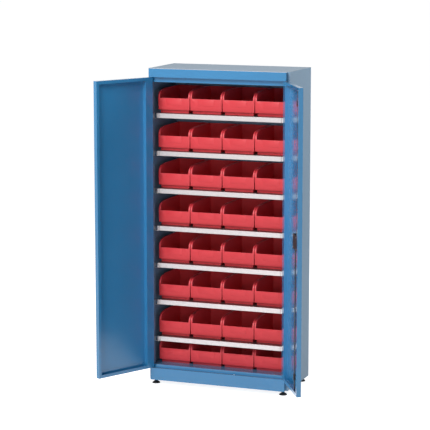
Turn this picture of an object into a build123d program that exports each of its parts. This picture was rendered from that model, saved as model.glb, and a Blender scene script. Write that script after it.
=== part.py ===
from build123d import *
import os
from math import cos, radians, sin

os.makedirs("parts", exist_ok=True)

# A sheet-steel cabinet for small parts. Behind two folded doors stand seven shelves and a floor panel,
# each with four picking bins. X runs across the front, Y from the front to the back and Z up. The origin
# is on the floor, in the middle of the cabinet's footprint. The doors stand open, as in use.

# Whole cabinet
cabinet_width = 920.0
cabinet_depth = 450.0
cabinet_height = 2000.0
base_clearance = 30.0
sheet = 1.2
fitting_gap = 0.3

# The rails over and under the doors stand in front of the carcass
front_depth = 30.0
rail_inset = 14.0
header_height = 52.0
plinth_height = 76.0
top_stop_height = 32.0
bottom_stop_height = 19.0
rail_return = 18.0

# Folded posts of the side panels, and the flanges under them
post_width = 19.0
post_return = 45.0
base_flange_width = 70.0
base_flange_thickness = 2.4
roof_fold = 24.0
back_panel_inset = 2.0
floor_fold = 22.0

# Shelves
shelf_count = 7
top_compartment = 229.0
shelf_side_gap = 22.0
shelf_front_setback = 55.0
shelf_back_gap = 6.0
shelf_lip = 29.0
shelf_rim = 14.0
shelf_tab_width = 17.0
shelf_notch = 2.0
shelf_sheet = 1.0

# Shelf brackets and the slots that they hook into
bracket_from_front = 63.0
bracket_length = 18.0
bracket_sheet = 1.5
bracket_web_width = 11.0
bracket_reach = 9.0
slot_width = 6.0
slot_height = 16.0
hook_height = 7.0
hook_drop = 4.0

# Picking bins
bin_columns = 4
bin_overhang = 5.5
bin_gap = 3.0
bin_setback = 100.0
bin_back_gap = 10.0
bin_height = 145.0
bin_front_height = 92.0
bin_slope_drop = 6.0
bin_slope_length = 45.0
bin_wall = 2.4
bin_rim_width = 7.0
bin_rim_thickness = 3.0
bin_draft = 5.0
bin_back_lean = 8.0
bin_arc_steps = 5
bin_toe_height = 19.0
bin_toe_setback = 16.0
bin_toe_draft = 2.0
bin_front_taper = 2.0
bin_rest_gap = 0.3
bin_headroom = 2.2
label_width = 104.0
label_height = 40.0
label_drop = 2.0
label_thickness = 1.6

# Doors
door_thickness = 28.0
door_side_gap = 1.0
door_centre_gap = 3.0
door_end_gap = 2.0
door_lip = 20.0
door_channel = 55.0
left_door_angle = 117.0
right_door_angle = 120.0
pivot_from_edge = 5.0
pivot_from_face = 14.0
pin_radius = 3.0
pin_clearance = 0.05
pin_in_door = 18.0
pin_in_rail = 8.0

# Lock of the right door: a handle outside, a cam inside and two rods
lock_from_free_edge = 88.0
lock_height = 1025.0
cam_radius = 22.0
cam_pin_radius = 3.0
cam_half_width = 7.0
cam_from_face = 6.5
cam_thickness = 3.0
spindle_radius = 6.0
spindle_clearance = 0.05
yoke_thickness = 2.5
yoke_play = 1.0
yoke_margin = 4.0
yoke_tail = 22.0
yoke_gap = 0.8
rod_radius = 4.0
rod_overlap = 0.3
rod_end_gap = 0.8
rod_hole_clearance = 0.8
case_width = 106.0
case_height = 89.0
case_shift = 11.0
case_from_face = 24.5
case_sheet = 1.5
guide_from_end = 97.0
guide_height = 34.0
guide_width = 20.0
guide_wall = 3.0
guide_clearance = 0.08
hub_radius = 17.0
hub_thickness = 7.7
cylinder_radius = 8.0
cylinder_reach = 1.5
lever_length = 88.0
lever_width = 20.0
lever_tip_width = 14.0
lever_thickness = 5.0

# Levelling feet
foot_from_side = 35.0
foot_from_front = 45.0
foot_from_back = 38.0
foot_pad_radius = 25.0
foot_pad_height = 5.0
foot_cone_height = 15.0
foot_stem_radius = 5.0
foot_stem_top = 64.0
foot_clearance = 0.05
nut_radius = 9.8
nut_height = 7.0

# Positions that follow from the sizes
half_width = cabinet_width / 2
front = -cabinet_depth / 2
back = cabinet_depth / 2
carcass_front = front + front_depth
carcass_back = back - sheet
wall_inner = half_width - sheet
post_inner = half_width - post_width
between_posts = post_inner - fitting_gap
half_rail = half_width - rail_inset
header_bottom = cabinet_height - header_height
plinth_top = base_clearance + plinth_height
floor_top = plinth_top + bottom_stop_height

shelf_half = post_inner - shelf_side_gap
shelf_front = front + shelf_front_setback
shelf_back = back - shelf_back_gap
highest_shelf = header_bottom - top_compartment
lowest_shelf = floor_top + bin_rest_gap + bin_height + bin_headroom + shelf_lip
shelf_step = (highest_shelf - lowest_shelf) / (shelf_count - 1)
bracket_rows = (front + bracket_from_front, carcass_back - bracket_from_front + front_depth)

bin_width = (2 * (shelf_half + bin_overhang) - (bin_columns - 1) * bin_gap) / bin_columns
bin_length = cabinet_depth - bin_setback - bin_back_gap
bin_arc = bin_height - bin_front_height - bin_slope_drop

hinge_edge = half_rail - door_side_gap
door_width = hinge_edge - door_centre_gap / 2
door_bottom = plinth_top + door_end_gap
door_top = header_bottom - door_end_gap
pivot_x = hinge_edge - pivot_from_edge
pivot_y = front + pivot_from_face

lock_u = door_width - lock_from_free_edge
cam_offset = cam_radius * cos(radians(45))
cam_back = cam_from_face + cam_thickness
yoke_front = cam_back + yoke_gap
yoke_back = yoke_front + yoke_thickness
rod_v = yoke_back - rod_overlap + rod_radius
upper_rod_u = lock_u + cam_radius
lower_rod_u = lock_u - cam_radius
upper_rod_top = door_top - sheet - rod_end_gap
lower_rod_bottom = door_bottom + sheet + rod_end_gap


def block(x0, x1, y0, y1, z0, z1):
    """A box between two corners."""
    middle = Pos((x0 + x1) / 2, (y0 + y1) / 2, (z0 + z1) / 2)
    return middle * Box(abs(x1 - x0), abs(y1 - y0), abs(z1 - z0))


def upright(radius, x, y, z0, z1):
    """A round bar or bore that runs up."""
    return Pos(x, y, (z0 + z1) / 2) * Cylinder(radius, z1 - z0)


def both_sides(piece):
    """The piece and its mirror image on the other side of the cabinet."""
    return [piece, mirror(piece, about=Plane.YZ)]


def save(name, shape):
    """Writes one node."""
    export_step(shape, f"parts/{name}.step")


# Carcass


def shelf_tops():
    """The top face of each shelf, from the highest one down."""
    return [highest_shelf - shelf_step * n for n in range(shelf_count)]


def slot_middle(shelf_top):
    """The middle of the slot that carries a shelf's bracket."""
    return shelf_top - shelf_lip / 2


def side_panel():
    """The right wall: outer sheet, slotted posts front and back, and a flange under it for the feet."""
    z0 = base_clearance
    z1 = cabinet_height - sheet
    panel = block(wall_inner, half_width, carcass_front, carcass_back, z0, z1)
    panel += block(post_inner, half_width, carcass_front, carcass_front + sheet, z0, z1)
    panel += block(post_inner, post_inner + sheet, carcass_front, carcass_front + post_return, z0, z1)
    panel += block(post_inner, half_width, carcass_back - sheet, carcass_back, z0, z1)
    panel += block(post_inner, post_inner + sheet, carcass_back - post_return, carcass_back, z0, z1)
    flange_edge = half_width - base_flange_width
    panel += block(flange_edge, half_width, carcass_front, carcass_back, z0, z0 + base_flange_thickness)
    nut_base = z0 + base_flange_thickness
    for y in foot_rows():
        panel += Pos(foot_x(), y, nut_base) * extrude(RegularPolygon(nut_radius, 6), amount=nut_height)
    half = slot_width / 2
    for y in bracket_rows:
        for shelf_top in shelf_tops():
            z = slot_middle(shelf_top)
            low = z - slot_height / 2
            high = z + slot_height / 2
            panel -= block(post_inner - sheet, post_inner + 2 * sheet, y - half, y + half, low, high)
    for y in foot_rows():
        panel -= upright(foot_stem_radius + foot_clearance, foot_x(), y, z0 - sheet, nut_base + 2 * nut_height)
    return panel


def roof_panel():
    """The top sheet with its edges folded down inside the walls."""
    top = cabinet_height
    low = top - roof_fold
    panel = block(-half_width, half_width, carcass_front, carcass_back, top - sheet, top)
    fold_front = carcass_front + post_return + fitting_gap
    fold_back = carcass_back - post_return - fitting_gap
    fold_x = wall_inner - fitting_gap
    side_fold = block(fold_x - sheet, fold_x, fold_front, fold_back, low, top - sheet)
    for piece in both_sides(side_fold):
        panel += piece
    panel += block(-between_posts, between_posts, carcass_front, carcass_front + sheet, low, top - sheet)
    panel += block(-between_posts, between_posts, carcass_back - sheet, carcass_back, low, top - sheet)
    return panel


def header_rail():
    """The rail over the doors: a folded front, and under it the flange that the closed doors stop at."""
    top = cabinet_height
    low = header_bottom - top_stop_height
    inner = half_rail - sheet
    rail = block(-half_rail, half_rail, front, carcass_front, header_bottom, top)
    rail -= block(-inner, inner, front + sheet, carcass_front + sheet, header_bottom + sheet, top - sheet)
    stop_back = carcass_front + sheet
    rail += block(-between_posts, between_posts, front + sheet, stop_back, header_bottom, header_bottom + sheet)
    rail += block(-between_posts, between_posts, carcass_front, stop_back, low, header_bottom)
    rail += block(-between_posts, between_posts, carcass_front, carcass_front + rail_return, low, low + sheet)
    hole_low = header_bottom - sheet
    hole_high = header_bottom + 2 * sheet
    for hole in both_sides(upright(pin_radius + pin_clearance, pivot_x, pivot_y, hole_low, hole_high)):
        rail -= hole
    rail -= rod_hole(upper_rod_u, hole_low, hole_high)
    return rail


def plinth_rail():
    """The rail under the doors: a folded front, and behind it the flange that meets the floor panel."""
    z0 = base_clearance
    inner = half_rail - sheet
    rail = block(-half_rail, half_rail, front, carcass_front, z0, plinth_top)
    rail -= block(-inner, inner, front + sheet, carcass_front + sheet, z0 + sheet, plinth_top - sheet)
    rail -= block(-inner, inner, front + rail_return, carcass_front + sheet, z0 - sheet, z0 + 2 * sheet)
    stop_back = carcass_front + sheet
    deck = plinth_top - sheet
    rail += block(-between_posts, between_posts, front + sheet, stop_back, deck, plinth_top)
    rail += block(-between_posts, between_posts, carcass_front, stop_back, deck, floor_top - sheet)
    hole_low = plinth_top - 2 * sheet
    hole_high = plinth_top + sheet
    for hole in both_sides(upright(pin_radius + pin_clearance, pivot_x, pivot_y, hole_low, hole_high)):
        rail -= hole
    rail -= rod_hole(lower_rod_u, hole_low, hole_high)
    return rail


def floor_panel():
    """The bottom panel, cut away round the posts, with folded sides and a folded back."""
    top = floor_top
    low = top - floor_fold
    middle_front = carcass_front + post_return + fitting_gap
    middle_back = carcass_back - post_return - fitting_gap
    panel = block(-between_posts, between_posts, carcass_front, carcass_back, top - sheet, top)
    wide = wall_inner - fitting_gap
    panel += block(-wide, wide, middle_front, middle_back, top - sheet, top)
    side_fold = block(wide - sheet, wide, middle_front, middle_back, low, top)
    for piece in both_sides(side_fold):
        panel += piece
    panel += block(-between_posts, between_posts, carcass_back - sheet, carcass_back, low, top)
    return panel


def back_panel():
    """The rear sheet, laid on the outside of the rear posts."""
    wide = half_width - back_panel_inset
    low = base_clearance + back_panel_inset
    return block(-wide, wide, carcass_back, back, low, cabinet_height - back_panel_inset)


def shelf(top):
    """A shelf pan: deck, deep front lip with a rim turned in, side and back lips, and corner tabs."""
    low = top - shelf_lip
    t = shelf_sheet
    w = shelf_half
    tab_end = w - shelf_tab_width
    lip_end = tab_end - shelf_notch
    pan = block(-w, w, shelf_front, shelf_back, top - t, top)
    pan += block(-lip_end, lip_end, shelf_front, shelf_front + t, low, top)
    pan += block(-lip_end, lip_end, shelf_front, shelf_front + shelf_rim, low, low + t)
    pan += block(-w, w, shelf_back - t, shelf_back, low, top)
    side_lip = block(w - t, w, shelf_front, shelf_back, low, top)
    tab = block(tab_end, w, shelf_front, shelf_front + t, low, top)
    for piece in both_sides(side_lip) + both_sides(tab):
        pan += piece
    return pan


def shelf_bracket(shelf_top, y):
    """A pressed bracket: leg on the post, ledge under the shelf, front web and a hook in the slot."""
    t = bracket_sheet
    face = post_inner - fitting_gap
    ledge = shelf_top - shelf_lip - fitting_gap
    top = shelf_top - fitting_gap
    y0 = y - bracket_length / 2
    y1 = y + bracket_length / 2
    piece = block(face - t, face, y0, y1, ledge - t, top)
    piece += block(shelf_half - bracket_reach, face, y0, y1, ledge - t, ledge)
    piece += block(face - bracket_web_width, face, y0, y0 + t, ledge - t, top)
    half = slot_width / 2 - fitting_gap
    low = slot_middle(shelf_top) - slot_height / 2 + fitting_gap
    behind = post_inner + sheet + fitting_gap
    piece += block(face - t, behind + t, y - half, y + half, low, low + hook_height)
    piece += block(behind, behind + t, y - half, y + half, low - hook_drop, low + hook_height)
    return piece


def shelf_brackets():
    """All the brackets, four to a shelf."""
    pieces = []
    for shelf_top in shelf_tops():
        for y in bracket_rows:
            pieces += both_sides(shelf_bracket(shelf_top, y))
    return Compound(pieces)


def hinge_pins():
    """The four pins that the doors turn on, held in the rails over and under them."""
    upper = upright(pin_radius, pivot_x, pivot_y, door_top - pin_in_door, header_bottom + pin_in_rail)
    lower = upright(pin_radius, pivot_x, pivot_y, plinth_top - pin_in_rail, door_bottom + pin_in_door)
    return Compound(both_sides(upper) + both_sides(lower))


# Bins


def arc_points(radius):
    """The quarter round at the front of a bin's side wall, from its top down to the front edge."""
    angles = [radians(90 * n / bin_arc_steps) for n in range(bin_arc_steps + 1)]
    return [(bin_arc - radius * sin(a), bin_front_height + radius * cos(a)) for a in angles]


def bin_side_view():
    """A bin seen from the side, under its rim. Y runs back and Z up."""
    rear = bin_length - bin_rim_width
    points = [
        (0, bin_toe_height),
        (bin_toe_setback - bin_toe_draft, bin_toe_height - bin_toe_draft),
        (bin_toe_setback, 0),
        (rear - bin_back_lean, 0),
        (rear, bin_height),
        (bin_arc + bin_slope_length, bin_height),
    ]
    return make_face(Plane.YZ * Polyline(*points, *arc_points(bin_arc), close=True))


def bin_hollow_view():
    """The hollow of a bin seen from the side: one wall inside the outline, open above and over the front."""
    t = bin_wall
    rear = bin_length - bin_rim_width
    top = bin_height + t
    points = [
        (-t, top),
        (-t, bin_front_height),
        (t, bin_front_height),
        (t, bin_toe_height + t),
        (bin_toe_setback - bin_toe_draft + t, bin_toe_height - bin_toe_draft + t),
        (bin_toe_setback + t, t),
        (rear - bin_back_lean - t, t),
        (rear - t, top),
    ]
    return make_face(Plane.YZ * Polyline(*points, close=True))


def bin_rim_view():
    """The rim seen from the side: a band along the round, the slope and the top edge."""
    t = bin_rim_thickness
    slope_end = bin_arc + bin_slope_length
    upper = [(bin_length, bin_height), (slope_end, bin_height)] + arc_points(bin_arc)
    lower = [(bin_length, bin_height - t), (slope_end, bin_height - t)] + arc_points(bin_arc - t)
    return make_face(Plane.YZ * Polyline(*upper, *reversed(lower), close=True))


def bin_wedge(half_low, half_high, y0, y1, z0, z1):
    """A block across the bin whose two sides lean outwards."""
    outline = Polyline((-half_low, z0), (half_low, z0), (half_high, z1), (-half_high, z1), close=True)
    face = make_face(Plane.XZ * outline)
    return Pos(0, y0, 0) * extrude(face, amount=y1 - y0, dir=(0, 1, 0))


def bin_label_field():
    """The raised field for a label on a bin's front."""
    half = label_width / 2
    high = bin_front_height - label_drop
    return block(-half, half, -label_thickness, bin_wall / 2, high - label_height, high)


def picking_bin():
    """An open-fronted bin: full-width front plate, rounded side walls, outward rim and a toe set back."""
    half = bin_width / 2
    wall_half = half - bin_rim_width
    base_half = wall_half - bin_draft
    t = bin_wall
    outline = extrude(bin_side_view(), amount=half, both=True)
    body = outline & bin_wedge(base_half, wall_half, 0, bin_length, 0, bin_height)
    body += extrude(bin_rim_view(), amount=half, both=True)
    front_low = half - bin_front_taper
    body += bin_wedge(front_low, half, 0, bin_rim_thickness, bin_toe_height, bin_front_height)
    hollow = extrude(bin_hollow_view(), amount=half, both=True)
    inner = bin_wedge(base_half - t, wall_half - t, -t, bin_length, 0, bin_height)
    inner += block(t - wall_half, wall_half - t, -t, bin_length, bin_height, bin_height + 2 * t)
    body -= hollow & inner
    return body + bin_label_field()


# Doors


def on_door(side, u0, u1, v0, v1, z0, z1):
    """A box on a closed door, by distance from its hinge edge and from its outer face."""
    return block(side * (hinge_edge - u0), side * (hinge_edge - u1), front + v0, front + v1, z0, z1)


def through_door(radius, u, v0, v1, z):
    """A round bar or bore through the thickness of the closed right door."""
    bar = Rot(90, 0, 0) * Cylinder(radius, abs(v1 - v0))
    return Pos(hinge_edge - u, front + (v0 + v1) / 2, z) * bar


def opened(side, shape):
    """Turns what was drawn on a closed door about its hinge to where the door stands."""
    angle = right_door_angle if side > 0 else -left_door_angle
    return Pos(side * pivot_x, pivot_y, 0) * Rot(0, 0, angle) * Pos(-side * pivot_x, -pivot_y, 0) * shape


def rod_hole(u, z0, z1):
    """The square hole that a lock rod passes."""
    half = rod_radius + rod_hole_clearance
    return on_door(1, u - half, u + half, rod_v - half, rod_v + half, z0, z1)


def door_pan(side):
    """A closed door: face sheet, box channel at the hinge, and folded edges with return lips."""
    t = sheet
    depth = door_thickness
    width = door_width
    z0 = door_bottom
    z1 = door_top
    lip = door_lip
    pan = on_door(side, 0, width, 0, t, z0, z1)
    pan += on_door(side, 0, t, 0, depth, z0, z1)
    pan += on_door(side, 0, door_channel, depth - t, depth, z0, z1)
    pan += on_door(side, door_channel - t, door_channel, 0, depth, z0, z1)
    pan += on_door(side, width - t, width, 0, depth, z0, z1)
    pan += on_door(side, width - lip, width, depth - t, depth, z0, z1)
    for low, high in ((z0, z0 + t), (z1 - t, z1)):
        pan += on_door(side, 0, width, 0, depth, low, high)
    for low, high in ((z0, z0 + lip), (z1 - lip, z1)):
        pan += on_door(side, door_channel, width, depth - t, depth, low, high)
    hole = pin_radius + pin_clearance
    pan -= upright(hole, side * pivot_x, pivot_y, z0 - t, z0 + 2 * t)
    pan -= upright(hole, side * pivot_x, pivot_y, z1 - 2 * t, z1 + t)
    return pan


def right_door():
    """The door with the lock: holes for the two rods and for the handle's spindle."""
    pan = door_pan(1)
    pan -= rod_hole(upper_rod_u, door_top - 2 * sheet, door_top + sheet)
    pan -= rod_hole(lower_rod_u, door_bottom - sheet, door_bottom + 2 * sheet)
    pan -= through_door(spindle_radius + spindle_clearance, lock_u, -sheet, 2 * sheet, lock_height)
    return pan


# Lock


def lock_case():
    """The cover over the cam: a folded plate, open above and below for the rods."""
    u0 = lock_u - case_shift - case_width / 2
    u1 = u0 + case_width
    z0 = lock_height - case_height / 2
    z1 = z0 + case_height
    t = case_sheet
    case = on_door(1, u0, u1, case_from_face - t, case_from_face, z0, z1)
    case += on_door(1, u0, u0 + t, sheet, case_from_face, z0, z1)
    case += on_door(1, u1 - t, u1, sheet, case_from_face, z0, z1)
    return case


def rod_guide(u, z0, z1):
    """A moulded guide that a lock rod slides through."""
    half = guide_width / 2
    guide = on_door(1, u - half, u + half, sheet, rod_v + rod_radius + guide_wall, z0, z1)
    bore = upright(rod_radius + guide_clearance, hinge_edge - u, front + rod_v, z0 - sheet, z1 + sheet)
    return guide - bore


def rod_guides():
    """One guide near the end of each rod."""
    top = door_top - guide_from_end + guide_height / 2
    low = door_bottom + guide_from_end - guide_height / 2
    upper = rod_guide(upper_rod_u, top - guide_height, top)
    lower = rod_guide(lower_rod_u, low, low + guide_height)
    return Compound([opened(1, upper), opened(1, lower)])


def lock_handle():
    """The outside handle: hub with lock cylinder, flat lever towards the hinges, and the spindle."""
    z = lock_height
    hub_face = -fitting_gap - hub_thickness
    lever_face = hub_face - lever_thickness
    handle = through_door(hub_radius, lock_u, lever_face, -fitting_gap, z)
    handle += through_door(spindle_radius, lock_u, hub_face, cam_from_face, z)
    root = lever_width / 2
    tip = lever_tip_width / 2
    x0 = hinge_edge - lock_u
    x1 = x0 + lever_length
    outline = Polyline((x0, z - root), (x1, z - tip), (x1, z + tip), (x0, z + root), close=True)
    lever = extrude(make_face(Plane.XZ * outline), amount=lever_thickness, dir=(0, 1, 0))
    handle += Pos(0, front + lever_face, 0) * lever
    handle += through_door(cylinder_radius, lock_u, lever_face - cylinder_reach, lever_face, z)
    return handle


def lock_cam():
    """The cam on the spindle's end: a bar at a slant with a pin for each rod."""
    v0 = cam_from_face
    half = cam_half_width
    reach = cam_radius + half
    arm = Rot(0, -45, 0) * block(-reach, reach, 0, cam_thickness, -half, half)
    cam = Pos(hinge_edge - lock_u, front + v0, lock_height) * arm
    pin_end = yoke_back - rod_overlap / 2
    for shift in (-cam_offset, cam_offset):
        cam += through_door(cam_pin_radius, lock_u - shift, cam_back, pin_end, lock_height + shift)
    return cam


def lock_rod(u, direction, end):
    """A lock rod: a yoke with a level slot for the cam's pin, and the round rod from there to the end."""
    middle = lock_height - direction * cam_offset
    inward = 1 if u < lock_u else -1
    slot_far = u - inward * (cam_pin_radius + yoke_margin / 2)
    slot_near = lock_u - inward * (cam_offset - cam_pin_radius - yoke_margin / 2)
    half = cam_pin_radius + yoke_play
    plate_tail = middle + direction * yoke_tail
    plate_foot = middle - direction * (half + yoke_margin)
    plate = on_door(1, slot_far - inward * yoke_margin, slot_near + inward * yoke_margin, yoke_front, yoke_back,
                    min(plate_tail, plate_foot), max(plate_tail, plate_foot))
    slot_front = yoke_front - yoke_thickness
    slot_back = yoke_back + yoke_thickness
    plate -= on_door(1, slot_far, slot_near, slot_front, slot_back, middle - half, middle + half)
    start = middle + direction * (half + yoke_margin / 2)
    return plate + upright(rod_radius, hinge_edge - u, front + rod_v, min(start, end), max(start, end))


# Feet


def foot_x():
    """How far to the side a foot stands."""
    return half_width - foot_from_side


def foot_rows():
    """How far forward and back the feet stand."""
    return front + foot_from_front, back - foot_from_back


def levelling_foot(x, y):
    """A foot: round pad, cone, and the threaded stem without its thread."""
    cone_top = foot_pad_height + foot_cone_height
    half_section = Polyline(
        (0, 0),
        (foot_pad_radius, 0),
        (foot_pad_radius, foot_pad_height),
        (foot_stem_radius, cone_top),
        (foot_stem_radius, foot_stem_top),
        (0, foot_stem_top),
        close=True,
    )
    return Pos(x, y, 0) * revolve(make_face(Plane.XZ * half_section), Axis.Z)


def build():
    """Writes every node."""
    right_wall = side_panel()
    save("right_side_panel", right_wall)
    save("left_side_panel", mirror(right_wall, about=Plane.YZ))
    save("roof_panel", roof_panel())
    save("back_panel", back_panel())
    save("floor_panel", floor_panel())
    save("header_rail", header_rail())
    save("plinth_rail", plinth_rail())
    save("shelf_brackets", shelf_brackets())
    save("hinge_pins", hinge_pins())
    for number, top in enumerate(shelf_tops(), start=1):
        save(f"shelf_{number}", shelf(top))

    save("left_door", opened(-1, door_pan(-1)))
    save("right_door", opened(1, right_door()))
    save("lock_case", opened(1, lock_case()))
    save("rod_guides", rod_guides())
    save("lock_handle", opened(1, lock_handle()))
    save("lock_cam", opened(1, lock_cam()))
    save("upper_lock_rod", opened(1, lock_rod(upper_rod_u, 1, upper_rod_top)))
    save("lower_lock_rod", opened(1, lock_rod(lower_rod_u, -1, lower_rod_bottom)))

    one_bin = picking_bin()
    decks = shelf_tops() + [floor_top]
    middle = (bin_columns - 1) / 2
    for row, deck in enumerate(decks, start=1):
        for column in range(bin_columns):
            x = (column - middle) * (bin_width + bin_gap)
            place = Pos(x, front + bin_setback, deck + bin_rest_gap)
            save(f"bin_row{row}_column{column + 1}", place * one_bin)

    front_row, back_row = foot_rows()
    save("front_left_foot", levelling_foot(-foot_x(), front_row))
    save("front_right_foot", levelling_foot(foot_x(), front_row))
    save("back_left_foot", levelling_foot(-foot_x(), back_row))
    save("back_right_foot", levelling_foot(foot_x(), back_row))


build()
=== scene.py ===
from math import cos, radians, sin

import bmesh
import bpy
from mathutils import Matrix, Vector


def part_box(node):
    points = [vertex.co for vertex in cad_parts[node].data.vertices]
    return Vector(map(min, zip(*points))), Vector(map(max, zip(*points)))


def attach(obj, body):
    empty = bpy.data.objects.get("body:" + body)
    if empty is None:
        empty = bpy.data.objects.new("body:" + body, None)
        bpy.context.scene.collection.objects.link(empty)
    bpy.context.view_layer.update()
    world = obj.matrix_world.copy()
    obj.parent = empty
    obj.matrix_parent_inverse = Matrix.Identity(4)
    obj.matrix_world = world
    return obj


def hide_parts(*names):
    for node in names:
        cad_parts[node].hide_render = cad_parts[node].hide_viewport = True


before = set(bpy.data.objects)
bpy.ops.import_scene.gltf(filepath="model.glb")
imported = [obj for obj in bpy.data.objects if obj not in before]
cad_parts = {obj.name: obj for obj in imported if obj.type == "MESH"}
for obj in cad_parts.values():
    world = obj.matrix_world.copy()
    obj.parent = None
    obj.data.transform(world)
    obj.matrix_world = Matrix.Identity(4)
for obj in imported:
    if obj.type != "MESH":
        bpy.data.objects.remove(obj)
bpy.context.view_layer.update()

# A sheet-steel cabinet with its doors open and four picking bins on each of its eight decks.
# Lengths are in metres. X runs across the front, Y to the back and Z up from the floor.

# Rounds along the edges of folded sheet, small steel pieces, the brackets, the bins and other mouldings
fold_radius = 0.0005
steel_radius = 0.0004
bracket_radius = 0.0003
bin_radius = 0.0009
moulded_radius = 0.0008

# Edges sharper than this many degrees are rounded, and faces no wider than this are shaded smooth
edge_angle = 30
widest_round = 0.0012

# Corners this near are one corner, and faces that turn less than this many degrees are one face
joint_distance = 0.000002
flat_angle = 0.4

# Slots in the posts: the lowest is so many steps under the lowest shelf
slot_pitch = 0.02625
slot_width = 0.0062
slot_height = 0.0162
slot_depth = 0.006
slot_count = 65
slots_below_shelf = 5

# Half of a shelf bracket's width, and how far the post's face lies inside the bracket's end
half_bracket = 0.009
post_face_inset = 0.003

# How far the outside paint of a side panel reaches round its edges
paint_edge = 0.0003

# Rivets of the back panel
rivet_pitch = 0.16
rivet_inset = 0.011
rivet_radius = 0.0034
rivet_flatness = 0.4
rivet_sides = 14
rivet_rings = 8

# Screws of the lock case, with the case's edges and face by distance from the door's hinge edge and outer
# face. The cross recess is as long as this share of the head's radius.
screw_radius = 0.0042
screw_height = 0.0018
screw_cross = 0.0010
screw_cross_share = 1.4
screw_inset = 0.010
screw_sides = 24
case_edges = (0.2915, 0.3975)
case_face = 0.0245

# Slot for the key, and the middle of the lock cylinder's face by distance from the door's hinge edge, from
# its outer face and from the floor
key_slot = (0.0014, 0.0060, 0.0080)
cylinder_face = (0.3555, -0.0145, 1.0250)

# Washers on the hinge pins, in the gaps under and over the doors
washer_radius = 0.0070
washer_bore = 0.0032
washer_height = 0.0017
washer_sides = 32
hinge_gap = 0.0020

# Right door's hinge and how far the door stands open
hinge_place = (0.440, -0.211)
hinge_edge = 0.445
front_face = -0.225
door_angle = 120

# Threaded stems of the feet, which start at the top of the moulded cone
thread_pitch = 0.0015
thread_depth = 0.0007
thread_steps = 20
ridge_sides = 3
stem_radius = 0.005
cone_top = 0.0202

# Painted shade darkens the paint on faces whose direction points up by more than the first of level_faces,
# and fully from the second. Near the floor dust greys the paint, most under the first of low_heights and
# not over the second.
level_faces = (0.6, 0.95)
# Colour and share of the painted shade on level faces
level_shade_colour = (0.125, 0.122, 0.120)
level_shade_share = 0.45
low_heights = (0.02, 0.16)
low_grey = 0.16
low_mix = 0.4
low_share = 0.12

# Patterns: waves or grains to the metre, for all axes or for each. A relief has a depth and a strength, and
# a swing is how far the roughness goes under and over its level.
cloud_waves = 5.0
sheen_waves = 30.0
peel_waves = 300.0
peel_relief = (0.00006, 0.15)
paint_swing = (-0.015, 0.02)
coat_roughness = 0.20
spangle_grains = 120.0
roll_streaks = (6.0, 260.0, 260.0)
streak_share = 0.35
streak_relief = (0.00002, 0.15)
zinc_swing = (-0.04, 0.05)
# Painted shade on the zinc's level faces: the first number is its share, the second darkens the dull tone
zinc_shade_share = 0.75
zinc_shade_tone = 0.3
stain_waves = 60.0
stain_tone = 0.8
turning_marks = (40.0, 40.0, 1600.0)
mark_relief = (0.00003, 0.3)
steel_swing = (-0.06, 0.1)
flow_clouds = (9.0, 9.0, 22.0)
moulded_waves = 120.0
plastic_swing = (-0.04, 0.06)
grain_waves = 900.0
grain_relief = (0.00006, 0.4)

# Camera of the photograph
camera_place = (3.876, -10.509, 2.888)
camera_target = (-0.094, 0.0, 1.071)
camera_lens = 151.4
camera_sensor = 36.0
camera_reach = 200.0

# Studio: what the surround gives as light, the floor's half width, finish and glow, and each lamp's place,
# the point that it faces, its width and its power in watts
world_level = 0.16
white = (1.0, 1.0, 1.0, 1.0)
floor_reach = 60.0
floor_tones = ((0.82, 0.82, 0.82), (0.80, 0.80, 0.80))
floor_roughness = 0.9
floor_glow = 0.88
lamps = {
    "key_light": ((-1.3, -4.1, 4.6), (0.0, 0.0, 1.2), 2.8, 255.0),
    "low_light": ((1.3, -5.0, 1.0), (0.0, 0.0, 0.6), 1.6, 22.0),
    "side_light": ((2.4, 1.6, 3.6), (0.4, 0.0, 1.6), 1.4, 46.0),
}


# Materials


def start_material(name):
    """A new material, with the place on the piece that its patterns are read at."""
    material = bpy.data.materials.new(name)
    material.use_nodes = True
    tree = material.node_tree
    place = tree.nodes.new("ShaderNodeTexCoord").outputs["Object"]
    return material, tree, tree.nodes["Principled BSDF"], place


def stretched(tree, place, scale):
    """The place, drawn out along some axes."""
    mapping = tree.nodes.new("ShaderNodeMapping")
    mapping.inputs["Scale"].default_value = scale
    tree.links.new(place, mapping.inputs["Vector"])
    return mapping.outputs["Vector"]


def noise(tree, place, scale=1.0):
    """A noise pattern with so many waves to the metre."""
    node = tree.nodes.new("ShaderNodeTexNoise")
    node.inputs["Scale"].default_value = scale
    tree.links.new(place, node.inputs["Vector"])
    return node.outputs["Fac"]


def spread(tree, value, low, high, start=0.3, end=0.7):
    """A pattern's value, spread between two levels."""
    node = tree.nodes.new("ShaderNodeMapRange")
    node.inputs["From Min"].default_value = start
    node.inputs["From Max"].default_value = end
    node.inputs["To Min"].default_value = low
    node.inputs["To Max"].default_value = high
    tree.links.new(value, node.inputs["Value"])
    return node.outputs["Result"]


def between(tree, value, first, second):
    """A colour between two, by a pattern's value. Either may be a colour or another pattern's output."""
    node = tree.nodes.new("ShaderNodeMix")
    node.data_type = "RGBA"
    tree.links.new(value, node.inputs["Factor"])
    for socket, colour in ((node.inputs[6], first), (node.inputs[7], second)):
        if isinstance(colour, tuple):
            socket.default_value = (*colour, 1.0)
        else:
            tree.links.new(colour, socket)
    return node.outputs[2]


def upward(tree, vector):
    """The upward part of a place or a direction."""
    parts = tree.nodes.new("ShaderNodeSeparateXYZ")
    tree.links.new(vector, parts.inputs["Vector"])
    return parts.outputs["Z"]


def on_level_faces(tree, share):
    """A share on faces that look up, falling to nothing on upright ones."""
    facing = tree.nodes.new("ShaderNodeNewGeometry").outputs["Normal"]
    return spread(tree, upward(tree, facing), 0.0, share, *level_faces)


def tinted(colour, factor):
    """A colour made darker by a factor."""
    return tuple(factor * part for part in colour)


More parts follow.
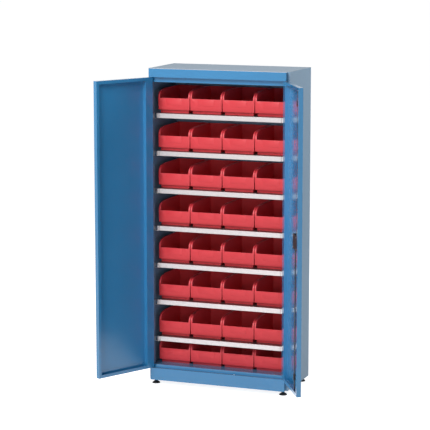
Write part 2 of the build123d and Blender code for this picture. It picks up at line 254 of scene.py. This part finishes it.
def roughened(tree, shader, pattern, level, swing, start=0.3, end=0.7):
    """Roughness that goes a little under and over its level, by a pattern's value."""
    value = spread(tree, pattern, level + swing[0], level + swing[1], start, end)
    tree.links.new(value, shader.inputs["Roughness"])


def relief(tree, shader, height, distance, strength):
    """Fine relief from a pattern's value."""
    node = tree.nodes.new("ShaderNodeBump")
    node.inputs["Distance"].default_value = distance
    node.inputs["Strength"].default_value = strength
    tree.links.new(height, node.inputs["Height"])
    tree.links.new(node.outputs["Normal"], shader.inputs["Normal"])


def powder_coat(name, colour, shade, gloss, coat):
    """Baked powder paint: fine orange peel, faint clouds, a little dust low down and painted shade on level
    faces.
    """
    material, tree, shader, place = start_material(name)
    clouds = spread(tree, noise(tree, place, cloud_waves), 0.0, 1.0)
    painted = between(tree, clouds, colour, shade)
    low_down = spread(tree, upward(tree, place), low_share, 0.0, *low_heights)
    settled = tuple((1 - low_mix) * part + low_mix * low_grey for part in colour)
    dusty = between(tree, low_down, painted, settled)
    # Painted shade: faces that look up are darkened towards a dark grey
    level_shaded = between(tree, on_level_faces(tree, level_shade_share), dusty, level_shade_colour)
    tree.links.new(level_shaded, shader.inputs["Base Color"])
    roughened(tree, shader, noise(tree, place, sheen_waves), gloss, paint_swing)
    shader.inputs["Coat Weight"].default_value = coat
    shader.inputs["Coat Roughness"].default_value = coat_roughness
    relief(tree, shader, noise(tree, place, peel_waves), *peel_relief)
    return material


def zinc_sheet(name, bright, dull, gloss):
    """Galvanised sheet: zinc spangle in flat grains, with the faint streaks of the roll and painted shade
    that darkens its level faces.
    """
    material, tree, shader, place = start_material(name)
    grains = tree.nodes.new("ShaderNodeTexVoronoi")
    grains.inputs["Scale"].default_value = spangle_grains
    tree.links.new(place, grains.inputs["Vector"])
    split = tree.nodes.new("ShaderNodeSeparateColor")
    tree.links.new(grains.outputs["Color"], split.inputs["Color"])
    grain = split.outputs["Red"]
    streaks = noise(tree, stretched(tree, place, roll_streaks))
    toned = between(tree, grain, bright, dull)
    streaked = between(tree, spread(tree, streaks, 0.0, streak_share), toned, dull)
    # Painted shade: the zinc's level faces are darkened
    shaded_zinc = between(tree, on_level_faces(tree, zinc_shade_share), streaked, tinted(dull, zinc_shade_tone))
    tree.links.new(shaded_zinc, shader.inputs["Base Color"])
    roughened(tree, shader, grain, gloss, zinc_swing, 0.0, 1.0)
    shader.inputs["Metallic"].default_value = 1.0
    relief(tree, shader, streaks, *streak_relief)
    return material


def turned_steel(name, colour, gloss):
    """Drawn or turned steel with fine marks round it and slight stains."""
    material, tree, shader, place = start_material(name)
    stains = spread(tree, noise(tree, place, stain_waves), 0.0, 1.0)
    stained = between(tree, stains, colour, tinted(colour, stain_tone))
    tree.links.new(stained, shader.inputs["Base Color"])
    marks = noise(tree, stretched(tree, place, turning_marks))
    roughened(tree, shader, marks, gloss, steel_swing)
    shader.inputs["Metallic"].default_value = 1.0
    relief(tree, shader, marks, *mark_relief)
    return material


def moulded_plastic(name, colour, shade, gloss):
    """Injection-moulded plastic: fine spark-eroded grain and soft flow clouds."""
    material, tree, shader, place = start_material(name)
    clouds = spread(tree, noise(tree, stretched(tree, place, flow_clouds)), 0.0, 1.0)
    tree.links.new(between(tree, clouds, colour, shade), shader.inputs["Base Color"])
    roughened(tree, shader, noise(tree, place, moulded_waves), gloss, plastic_swing)
    relief(tree, shader, noise(tree, place, grain_waves), *grain_relief)
    return material


blue_paint = powder_coat("blue_paint", (0.032, 0.232, 0.480), (0.030, 0.224, 0.467), 0.22, 0.6)
grey_paint = powder_coat("grey_paint", (0.215, 0.365, 0.520), (0.209, 0.356, 0.507), 0.45, 0.0)
shelf_zinc = zinc_sheet("shelf_zinc", (0.62, 0.575, 0.58), (0.55, 0.515, 0.52), 0.36)
rod_steel = turned_steel("rod_steel", (0.10, 0.10, 0.11), 0.38)
pin_steel = turned_steel("pin_steel", (0.72, 0.72, 0.73), 0.28)
stem_steel = turned_steel("stem_steel", (0.55, 0.55, 0.57), 0.34)
bin_plastic = moulded_plastic("bin_plastic", (0.740, 0.046, 0.060), (0.715, 0.042, 0.055), 0.46)
black_plastic = moulded_plastic("black_plastic", (0.018, 0.018, 0.020), (0.026, 0.026, 0.028), 0.46)
white_nylon = moulded_plastic("white_nylon", (0.80, 0.79, 0.76), (0.74, 0.73, 0.70), 0.42)


# Meshes


def linked(name, data):
    """A new object for a mesh, a lamp or a camera."""
    piece = bpy.data.objects.new(name, data)
    bpy.context.scene.collection.objects.link(piece)
    return piece


def made_plain(piece):
    """Turns what a piece's modifiers make into its own plain mesh."""
    shown = piece.evaluated_get(bpy.context.evaluated_depsgraph_get())
    mesh = bpy.data.meshes.new_from_object(shown)
    piece.modifiers.clear()
    piece.data = mesh
    return piece


def joined_mesh(node):
    """A node's mesh with its loose triangles joined and its flat faces whole again."""
    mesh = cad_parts[node].data.copy()
    shape = bmesh.new()
    shape.from_mesh(mesh)
    bmesh.ops.remove_doubles(shape, verts=shape.verts, dist=joint_distance)
    bmesh.ops.dissolve_limit(shape, angle_limit=radians(flat_angle), verts=shape.verts, edges=shape.edges)
    shape.to_mesh(mesh)
    shape.free()
    mesh.materials.clear()
    return mesh


def point_mesh(name, points):
    """A mesh of loose points."""
    mesh = bpy.data.meshes.new(name)
    mesh.from_pydata(points, [], [])
    return mesh


def rounded(piece, radius, segments=2):
    """Rounds a piece's sharp edges and shades it smoothly."""
    for face in piece.data.polygons:
        face.use_smooth = True
    bevel = piece.modifiers.new("rounded edges", "BEVEL")
    bevel.limit_method = "ANGLE"
    bevel.angle_limit = radians(edge_angle)
    bevel.width = radius
    bevel.segments = segments
    bevel.harden_normals = True
    made_plain(piece)


def pressed_flat(piece):
    """Shades the flat faces of folded sheet flat, and leaves the narrow rounds along its edges smooth."""
    mesh = piece.data
    for face in mesh.polygons:
        corners = [mesh.vertices[index].co for index in face.vertices]
        longest = max((a - b).length for a, b in zip(corners, corners[1:] + corners[:1]))
        if face.area > widest_round * longest:
            face.use_smooth = False


def dressed(node, name, material, body, radius):
    """A node's own shape with rounded edges and its finish. It stands for the node."""
    piece = linked(name, joined_mesh(node))
    piece.data.materials.append(material)
    rounded(piece, radius)
    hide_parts(node)
    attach(piece, body)
    return piece


def folded(node, name, material, body, radius=fold_radius):
    """A node of folded sheet with its edges rounded and its faces flat."""
    pressed_flat(dressed(node, name, material, body, radius))


# Geometry node trees


def new_tree(name, inputs):
    """An empty tree with named inputs and one geometry output."""
    tree = bpy.data.node_groups.new(name, "GeometryNodeTree")
    for label, kind in inputs:
        tree.interface.new_socket(label, in_out="INPUT", socket_type="NodeSocket" + kind)
    tree.interface.new_socket("Geometry", in_out="OUTPUT", socket_type="NodeSocketGeometry")
    source = tree.nodes.new("NodeGroupInput")
    target = tree.nodes.new("NodeGroupOutput")
    return tree, source.outputs, target.inputs["Geometry"]


def add(tree, kind, links=(), **settings):
    """A node's first output, after its settings are made and its inputs linked or set."""
    node = tree.nodes.new(kind)
    for key, value in settings.items():
        setattr(node, key, value)
    for socket, source in dict(links).items():
        if hasattr(source, "is_output"):
            tree.links.new(source, node.inputs[socket])
        else:
            node.inputs[socket].default_value = source
    return node.outputs[0]


def cut_out(tree, solid, cutter):
    """A solid with a cutter's shape taken out of it."""
    return add(tree, "GeometryNodeMeshBoolean", {"Mesh 1": solid, "Mesh 2": cutter},
               operation="DIFFERENCE", solver="EXACT")


def gathered(tree, kind, socket, pieces, **settings):
    """Several shapes put together by one node with a socket that takes them all."""
    node = tree.nodes.new(kind)
    for key, value in settings.items():
        setattr(node, key, value)
    for piece in pieces:
        tree.links.new(piece, node.inputs[socket])
    return node.outputs[0]


def finished(tree, geometry, material, target):
    """The end of each tree: real geometry with its material."""
    real = add(tree, "GeometryNodeRealizeInstances", {"Geometry": geometry})
    painted = add(tree, "GeometryNodeSetMaterial", {"Geometry": real, "Material": material})
    tree.links.new(painted, target)


def grown(name, tree, values, mesh=None):
    """Runs a tree with these inputs, on a mesh if it needs one, and keeps the result as a plain mesh."""
    piece = linked(name, mesh or bpy.data.meshes.new(name))
    growth = piece.modifiers.new("growth", "NODES")
    growth.node_group = tree
    for item in tree.interface.items_tree:
        if item.in_out == "INPUT" and item.name in values:
            growth[item.identifier] = values[item.name]
    return made_plain(piece)


def slot_tree():
    """Cuts a row of upright slots through each of a side panel's two posts."""
    tree, given, target = new_tree("slot_rows", [
        ("Geometry", "Geometry"), ("Slots", "Int"), ("Pitch", "Float"), ("Cutter", "Vector"),
        ("Front row", "Vector"), ("Back row", "Vector"), ("Material", "Material"),
    ])
    step = add(tree, "ShaderNodeCombineXYZ", {"Z": given["Pitch"]})
    cutter = add(tree, "GeometryNodeMeshCube", {"Size": given["Cutter"]})
    rows = []
    for label in ("Front row", "Back row"):
        rows.append(add(tree, "GeometryNodeMeshLine", {
            "Count": given["Slots"], "Start Location": given[label], "Offset": step,
        }))
    points = gathered(tree, "GeometryNodeJoinGeometry", 0, rows)
    slots = add(tree, "GeometryNodeInstanceOnPoints", {"Points": points, "Instance": cutter})
    solid = add(tree, "GeometryNodeRealizeInstances", {"Geometry": slots})
    finished(tree, cut_out(tree, given["Geometry"], solid), given["Material"], target)
    return tree


def key_slot_tree():
    """Cuts one narrow slot, for the key, into the face of a lock cylinder."""
    tree, given, target = new_tree("key_slot", [
        ("Geometry", "Geometry"), ("Slot", "Vector"), ("Place", "Vector"), ("Turn", "Vector"),
        ("Material", "Material"),
    ])
    cutter = add(tree, "GeometryNodeMeshCube", {"Size": given["Slot"]})
    placed = add(tree, "GeometryNodeTransform", {
        "Geometry": cutter, "Translation": given["Place"], "Rotation": given["Turn"],
    })
    finished(tree, cut_out(tree, given["Geometry"], placed), given["Material"], target)
    return tree


def rivet_tree():
    """Sets a flat domed rivet head on every point."""
    tree, given, target = new_tree("rivet_heads", [
        ("Geometry", "Geometry"), ("Radius", "Float"), ("Scale", "Vector"), ("Material", "Material"),
    ])
    ball = add(tree, "GeometryNodeMeshUVSphere", {
        "Segments": rivet_sides, "Rings": rivet_rings, "Radius": given["Radius"],
    })
    smooth = add(tree, "GeometryNodeSetShadeSmooth", {"Geometry": ball})
    heads = add(tree, "GeometryNodeInstanceOnPoints", {
        "Points": given["Geometry"], "Instance": smooth, "Scale": given["Scale"],
    })
    finished(tree, heads, given["Material"], target)
    return tree


def screw_tree():
    """Sets a round screw head with a cross recess on every point, turned towards where it faces."""
    tree, given, target = new_tree("screw_heads", [
        ("Geometry", "Geometry"), ("Radius", "Float"), ("Height", "Float"), ("Bar", "Vector"),
        ("Cross bar", "Vector"), ("Turn", "Vector"), ("Material", "Material"),
    ])
    head = add(tree, "GeometryNodeMeshCylinder", {
        "Vertices": screw_sides, "Radius": given["Radius"], "Depth": given["Height"],
    })
    bars = [add(tree, "GeometryNodeMeshCube", {"Size": given[label]}) for label in ("Bar", "Cross bar")]
    cross = gathered(tree, "GeometryNodeMeshBoolean", "Mesh 2", bars, operation="UNION", solver="EXACT")
    lift = add(tree, "ShaderNodeCombineXYZ", {"Z": given["Height"]})
    raised = add(tree, "GeometryNodeTransform", {"Geometry": cross, "Translation": lift})
    heads = add(tree, "GeometryNodeInstanceOnPoints", {
        "Points": given["Geometry"], "Instance": cut_out(tree, head, raised), "Rotation": given["Turn"],
    })
    finished(tree, heads, given["Material"], target)
    return tree


def washer_tree():
    """Sets a flat ring on every point."""
    tree, given, target = new_tree("washers", [
        ("Geometry", "Geometry"), ("Radius", "Float"), ("Bore", "Float"), ("Height", "Float"),
        ("Depth", "Float"), ("Material", "Material"),
    ])
    disc = add(tree, "GeometryNodeMeshCylinder", {
        "Vertices": washer_sides, "Radius": given["Radius"], "Depth": given["Height"],
    })
    bore = add(tree, "GeometryNodeMeshCylinder", {
        "Vertices": washer_sides, "Radius": given["Bore"], "Depth": given["Depth"],
    })
    rings = add(tree, "GeometryNodeInstanceOnPoints", {
        "Points": given["Geometry"], "Instance": cut_out(tree, disc, bore),
    })
    finished(tree, rings, given["Material"], target)
    return tree


def thread_tree():
    """Winds a screw thread: a ridge that climbs round a core."""
    tree, given, target = new_tree("screw_thread", [
        ("Turns", "Float"), ("Radius", "Float"), ("Height", "Float"), ("Depth", "Float"),
        ("Foot", "Vector"), ("Material", "Material"),
    ])
    spiral = add(tree, "GeometryNodeCurveSpiral", {
        "Resolution": thread_steps, "Rotations": given["Turns"], "Start Radius": given["Radius"],
        "End Radius": given["Radius"], "Height": given["Height"],
    })
    ridge = add(tree, "GeometryNodeCurvePrimitiveCircle", {
        "Resolution": ridge_sides, "Radius": given["Depth"],
    })
    wound = add(tree, "GeometryNodeCurveToMesh", {
        "Curve": spiral, "Profile Curve": ridge, "Fill Caps": True,
    })
    placed = add(tree, "GeometryNodeTransform", {"Geometry": wound, "Translation": given["Foot"]})
    finished(tree, placed, given["Material"], target)
    return tree


slots = slot_tree()
key_slots = key_slot_tree()
rivets = rivet_tree()
screws = screw_tree()
washers = washer_tree()
threads = thread_tree()


# Carcass


def slotted_panel(node, name, side):
    """A side panel with full rows of slots in both posts, blue inside and grey outside."""
    low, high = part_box(node)
    shelf_low, shelf_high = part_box("shelf_7")
    brackets_low, brackets_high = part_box("shelf_brackets")
    post_x = side * (brackets_high[0] - post_face_inset)
    start = (shelf_low[2] + shelf_high[2]) / 2 - slots_below_shelf * slot_pitch
    panel = grown(name, slots, {
        "Slots": slot_count, "Pitch": slot_pitch, "Cutter": (slot_depth, slot_width, slot_height),
        "Front row": (post_x, brackets_low[1] + half_bracket, start),
        "Back row": (post_x, brackets_high[1] - half_bracket, start), "Material": grey_paint,
    }, joined_mesh(node))
    panel.data.materials.append(blue_paint)
    outer = side * max(abs(low[0]), abs(high[0]))
    for face in panel.data.polygons:
        if abs(face.center.x - outer) > paint_edge:
            face.material_index = 1
    rounded(panel, fold_radius, 1)
    pressed_flat(panel)
    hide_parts(node)
    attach(panel, "carcass")


def rivet_points():
    """Where the back panel is riveted to the posts, the roof and the floor."""
    low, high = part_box("back_panel")
    left, right = low[0] + rivet_inset, high[0] - rivet_inset
    bottom, top = low[2] + rivet_inset, high[2] - rivet_inset
    back = high[1]
    points = []
    rises = int((top - bottom) / rivet_pitch)
    for n in range(rises + 1):
        z = bottom + n * (top - bottom) / rises
        points += [(left, back, z), (right, back, z)]
    steps = int((right - left) / rivet_pitch)
    for n in range(1, steps):
        x = left + n * (right - left) / steps
        points += [(x, back, bottom), (x, back, top)]
    return points


def back_rivets():
    """The rivets of the back panel."""
    heads = grown("back_panel_rivets", rivets, {
        "Radius": rivet_radius, "Scale": (1.0, rivet_flatness, 1.0), "Material": grey_paint,
    }, point_mesh("rivet_points", rivet_points()))
    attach(heads, "carcass")


def hinge_washers():
    """The white washers on the hinge pins, one in each gap over and under the doors."""
    low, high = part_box("right_door")
    points = []
    for z in (low[2] - hinge_gap / 2, high[2] + hinge_gap / 2):
        for side in (-1, 1):
            points.append((side * hinge_place[0], hinge_place[1], z))
    rings = grown("hinge_washers", washers, {
        "Radius": washer_radius, "Bore": washer_bore, "Height": washer_height, "Depth": 3 * washer_height,
        "Material": white_nylon,
    }, point_mesh("washer_points", points))
    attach(rings, "carcass")


# Lock


def on_right_door(u, depth, z):
    """A place on the right door, by distance from its hinge edge and from its outer face."""
    along = hinge_edge - u - hinge_place[0]
    across = front_face + depth - hinge_place[1]
    turn = radians(door_angle)
    x = hinge_place[0] + along * cos(turn) - across * sin(turn)
    y = hinge_place[1] + along * sin(turn) + across * cos(turn)
    return x, y, z


def lock_handle():
    """The outside handle, with the slot for the key in its lock cylinder."""
    piece = grown("lock_handle_moulded", key_slots, {
        "Slot": key_slot, "Place": on_right_door(*cylinder_face), "Turn": (0.0, 0.0, radians(door_angle)),
        "Material": black_plastic,
    }, joined_mesh("lock_handle"))
    rounded(piece, moulded_radius, 3)
    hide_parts("lock_handle")
    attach(piece, "lock_handle")


def case_screws():
    """The four screws of the lock case."""
    low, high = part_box("lock_case")
    points = []
    for u in (case_edges[0] + screw_inset, case_edges[1] - screw_inset):
        for z in (low[2] + screw_inset, high[2] - screw_inset):
            points.append(on_right_door(u, case_face + screw_height / 2, z))
    bar = screw_cross_share * screw_radius
    heads = grown("lock_case_screws", screws, {
        "Radius": screw_radius, "Height": screw_height, "Material": stem_steel,
        "Bar": (bar, screw_cross, screw_height), "Cross bar": (screw_cross, bar, screw_height),
        "Turn": (radians(90), 0.0, radians(door_angle - 180)),
    }, point_mesh("screw_points", points))
    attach(heads, "right_door")


# Bins


def bin_pattern():
    """The first bin's mesh with its edges rounded, for every bin to copy."""
    piece = linked("bin_pattern", joined_mesh("bin_row1_column1"))
    piece.data.materials.append(bin_plastic)
    rounded(piece, bin_radius)
    mesh = piece.data
    bpy.data.objects.remove(piece)
    return mesh


def all_bins():
    """The thirty-two bins, each moved to its own node's place."""
    pattern = bin_pattern()
    origin = Vector(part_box("bin_row1_column1")[0])
    for node in sorted(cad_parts):
        if not node.startswith("bin_row"):
            continue
        mesh = pattern.copy()
        shift = Vector(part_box(node)[0]) - origin
        for corner in mesh.vertices:
            corner.co += shift
        piece = linked(node + "_moulded", mesh)
        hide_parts(node)
        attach(piece, node)


# Feet


def levelling_foot(node):
    """A foot: moulded pad and cone with a threaded steel stem."""
    piece = dressed(node, node + "_pad_and_stem", black_plastic, node, moulded_radius)
    piece.data.materials.append(stem_steel)
    for face in piece.data.polygons:
        if face.center.z > cone_top:
            face.material_index = 1
    low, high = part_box(node)
    start = ((low[0] + high[0]) / 2, (low[1] + high[1]) / 2, cone_top + thread_pitch)
    height = high[2] - cone_top - 2 * thread_pitch
    ridge = grown(node + "_thread", threads, {
        "Turns": height / thread_pitch, "Radius": stem_radius - thread_depth / 2, "Height": height,
        "Depth": thread_depth, "Foot": start, "Material": stem_steel,
    })
    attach(ridge, node)


# Light, floor and camera


def aimed(piece, place, target):
    """Sets a lamp or a camera down at a place, facing a point."""
    piece.location = place
    piece.rotation_euler = (Vector(target) - Vector(place)).to_track_quat("-Z", "Y").to_euler()


def area_light(name, place, target, width, power):
    """A soft square lamp that faces a point."""
    lamp = bpy.data.lights.new(name, "AREA")
    lamp.size = width
    lamp.energy = power
    aimed(linked(name, lamp), place, target)


def seen_straight(tree):
    """One where a surface is seen by the camera, in a reflection or through glass."""
    path = tree.nodes.new("ShaderNodeLightPath")
    total = path.outputs["Is Camera Ray"]
    for label in ("Is Glossy Ray", "Is Transmission Ray"):
        either = tree.nodes.new("ShaderNodeMath")
        either.operation = "MAXIMUM"
        tree.links.new(total, either.inputs[0])
        tree.links.new(path.outputs[label], either.inputs[1])
        total = either.outputs[0]
    return total


def studio_world():
    """A white surround that lights the cabinet at a lower level than it shows."""
    world = bpy.data.worlds.new("studio")
    bpy.context.scene.world = world
    world.use_nodes = True
    tree = world.node_tree
    shader = tree.nodes["Background"]
    shader.inputs["Color"].default_value = white
    strength = spread(tree, seen_straight(tree), world_level, 1.0, 0.0, 1.0)
    tree.links.new(strength, shader.inputs["Strength"])


def studio_floor():
    """A pale floor that shows white where no shadow falls."""
    far = floor_reach
    mesh = bpy.data.meshes.new("studio_floor")
    mesh.from_pydata([(-far, -far, 0), (far, -far, 0), (far, far, 0), (-far, far, 0)], [], [(0, 1, 2, 3)])
    floor = linked("studio_floor", mesh)
    material, tree, shader, place = start_material("pale_floor")
    speckle = spread(tree, noise(tree, place, sheen_waves), 0.0, 1.0)
    tree.links.new(between(tree, speckle, *floor_tones), shader.inputs["Base Color"])
    shader.inputs["Roughness"].default_value = floor_roughness
    shader.inputs["Specular IOR Level"].default_value = 0.0
    shader.inputs["Emission Color"].default_value = white
    glow = spread(tree, seen_straight(tree), 0.0, floor_glow, 0.0, 1.0)
    tree.links.new(glow, shader.inputs["Emission Strength"])
    mesh.materials.append(material)


def photograph_camera():
    """The camera at the photograph's place and angle."""
    lens = bpy.data.cameras.new("camera")
    lens.lens = camera_lens
    lens.sensor_width = camera_sensor
    lens.clip_end = camera_reach
    camera = linked("camera", lens)
    aimed(camera, camera_place, camera_target)
    bpy.context.scene.camera = camera


slotted_panel("left_side_panel", "left_side_panel_slotted", -1)
slotted_panel("right_side_panel", "right_side_panel_slotted", 1)
for part in ("roof_panel", "back_panel"):
    folded(part, part + "_painted", grey_paint, "carcass")
for part in ("floor_panel", "header_rail", "plinth_rail"):
    folded(part, part + "_painted", blue_paint, "carcass")
folded("shelf_brackets", "shelf_brackets_zinc", shelf_zinc, "carcass", bracket_radius)
for number in range(1, 8):
    folded(f"shelf_{number}", f"shelf_{number}_zinc", shelf_zinc, "carcass", steel_radius)
dressed("hinge_pins", "hinge_pins_steel", pin_steel, "carcass", steel_radius)
hinge_washers()
back_rivets()

for door in ("left_door", "right_door"):
    folded(door, door + "_painted", blue_paint, door)
folded("lock_case", "lock_case_black", black_plastic, "right_door")
dressed("rod_guides", "rod_guides_moulded", black_plastic, "right_door", moulded_radius)
case_screws()
lock_handle()
dressed("lock_cam", "lock_cam_steel", rod_steel, "lock_handle", steel_radius)
for rod in ("upper_lock_rod", "lower_lock_rod"):
    dressed(rod, rod + "_steel", rod_steel, rod, steel_radius)

all_bins()
for foot in ("front_left_foot", "front_right_foot", "back_left_foot", "back_right_foot"):
    levelling_foot(foot)

studio_world()
studio_floor()
for lamp_name, (place, target, width, power) in lamps.items():
    area_light(lamp_name, place, target, width, power)
photograph_camera()
bpy.context.scene.view_settings.view_transform = "Standard"
